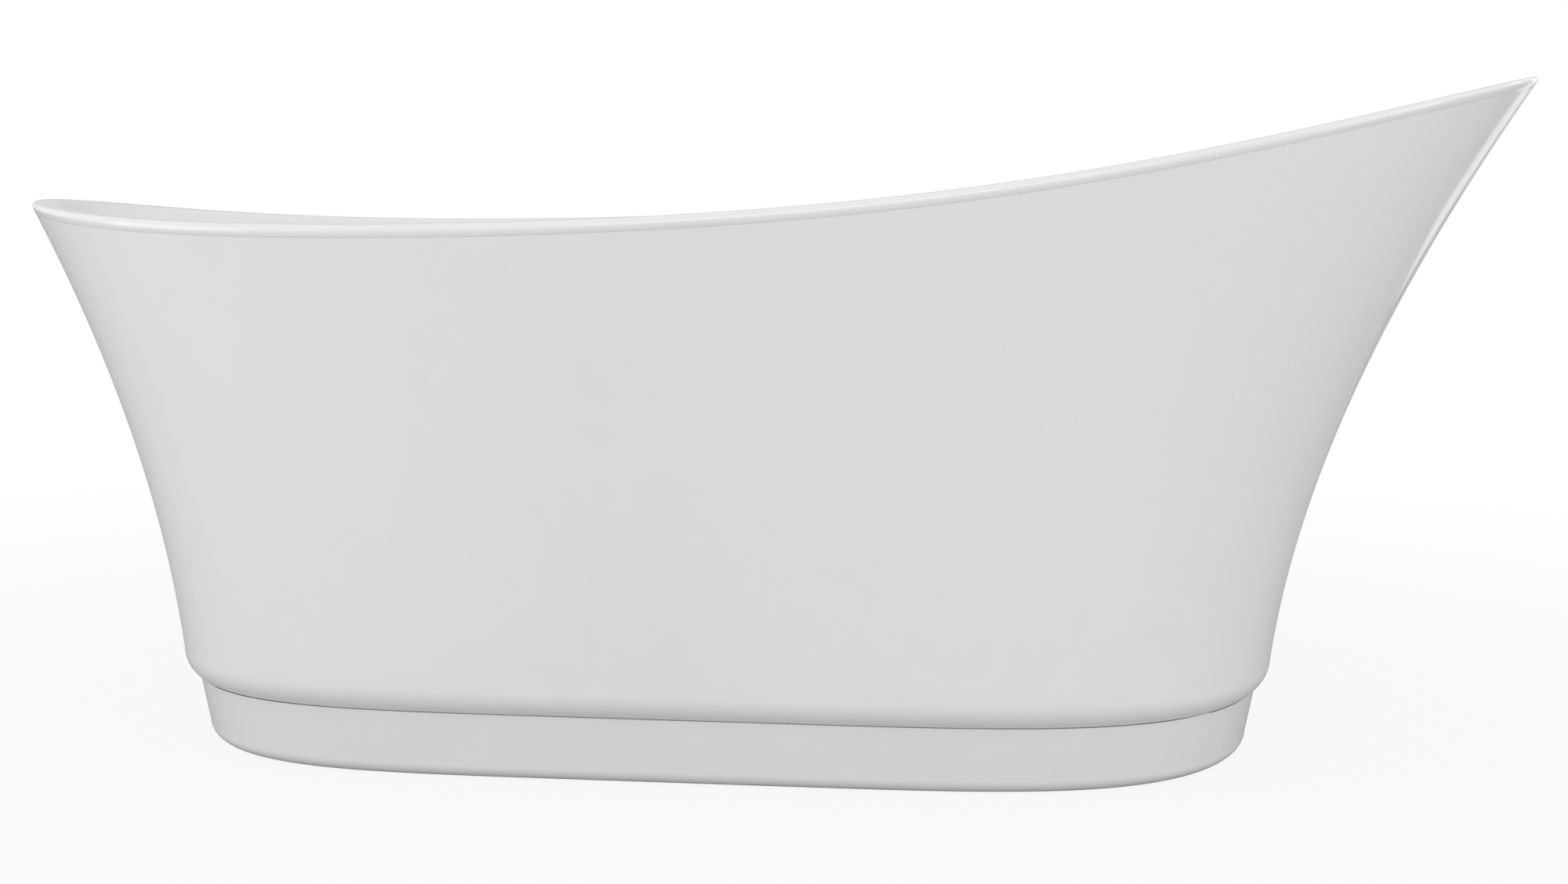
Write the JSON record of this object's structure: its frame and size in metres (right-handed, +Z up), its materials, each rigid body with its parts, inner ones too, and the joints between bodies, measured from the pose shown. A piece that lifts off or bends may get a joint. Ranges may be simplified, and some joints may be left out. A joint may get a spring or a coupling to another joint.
{
  "type": "freestanding bathtub",
  "caption": "Freestanding single-slipper bathtub: double-walled acrylic tub on a recessed plinth, with levelling feet, pop-up waste and overflow.",
  "frame": {"origin": "middle of the footprint on the floor, under the middle of the tub's length and width", "axes": "+X towards the raised back-rest end, -X towards the drain and overflow end, +Z up"},
  "size_m": [1.7001, 0.7991, 0.7502],
  "materials": {
    "acrylic_white": "gloss",
    "glass_fibre": "matte",
    "adhesive": "matte",
    "plywood": "matte",
    "galvanised_steel": "satin",
    "zinc_fastener": "satin",
    "black_plastic": "matte",
    "black_rubber": "matte",
    "chrome": "gloss",
    "waste_plastic": "satin",
    "hose_plastic": "satin",
    "brass": "satin",
    "spring_steel": "satin"
  },
  "bodies": {
    "tub": {"outer_skirt": "acrylic_white", "skirt_backing": "glass_fibre", "plinth": "acrylic_white", "inner_basin": "acrylic_white", "basin_backing": "glass_fibre", "rim_bond": "adhesive", "base_board": "plywood", "board_screws": "zinc_fastener", "frame_rail_left": "galvanised_steel", "frame_rail_right": "galvanised_steel", "frame_crossbar_foot": "galvanised_steel", "frame_crossbar_mid": "galvanised_steel", "frame_crossbar_head": "galvanised_steel", "tube_end_caps": "black_plastic", "frame_cleats": "galvanised_steel", "frame_screws": "zinc_fastener", "skirt_bracket_foot": "galvanised_steel", "skirt_bracket_head": "galvanised_steel", "skirt_bracket_left": "galvanised_steel", "skirt_bracket_right": "galvanised_steel", "skirt_block_foot": "plywood", "skirt_block_head": "plywood", "skirt_block_left": "plywood", "skirt_block_right": "plywood", "bracket_bolts": "zinc_fastener", "block_screws": "zinc_fastener", "foot_weld_nuts": "zinc_fastener", "foot_lock_nuts": "zinc_fastener", "drain_flange": "chrome", "drain_seal_upper": "black_rubber", "drain_seal_lower": "black_rubber", "waste_body": "waste_plastic", "tailpiece": "chrome", "tailpiece_nut": "waste_plastic", "tailpiece_washer": "black_rubber", "plug_sleeve": "brass", "plug_spring": "spring_steel", "overflow_cover": "chrome", "overflow_plate": "chrome", "overflow_seal": "black_rubber", "overflow_elbow": "waste_plastic", "overflow_screw": "chrome", "overflow_hose": "hose_plastic", "hose_clips": "zinc_fastener"},
    "plug": {"plug_cap": "chrome", "plug_seal": "black_rubber", "plug_spindle": "brass"},
    "foot_1": {"foot_stud_1": "zinc_fastener", "foot_pad_1": "black_plastic"},
    "foot_2": {"foot_stud_2": "zinc_fastener", "foot_pad_2": "black_plastic"},
    "foot_3": {"foot_stud_3": "zinc_fastener", "foot_pad_3": "black_plastic"},
    "foot_4": {"foot_stud_4": "zinc_fastener", "foot_pad_4": "black_plastic"},
    "foot_5": {"foot_stud_5": "zinc_fastener", "foot_pad_5": "black_plastic"}
  },
  "joints": [
    {"name": "plug_slide", "type": "slide", "parent": "tub", "child": "plug", "axis": [0, 0, 1], "range_m": [0, 0.01], "deforming": ["plug_spring"]},
    {"name": "foot_1_level", "type": "slide", "parent": "tub", "child": "foot_1", "axis": [0, 0, -1], "range_m": [-0.002, 0.014]},
    {"name": "foot_2_level", "type": "slide", "parent": "tub", "child": "foot_2", "axis": [0, 0, -1], "range_m": [-0.002, 0.014]},
    {"name": "foot_3_level", "type": "slide", "parent": "tub", "child": "foot_3", "axis": [0, 0, -1], "range_m": [-0.002, 0.014]},
    {"name": "foot_4_level", "type": "slide", "parent": "tub", "child": "foot_4", "axis": [0, 0, -1], "range_m": [-0.002, 0.014]},
    {"name": "foot_5_level", "type": "slide", "parent": "tub", "child": "foot_5", "axis": [0, 0, -1], "range_m": [-0.002, 0.014]}
  ]
}
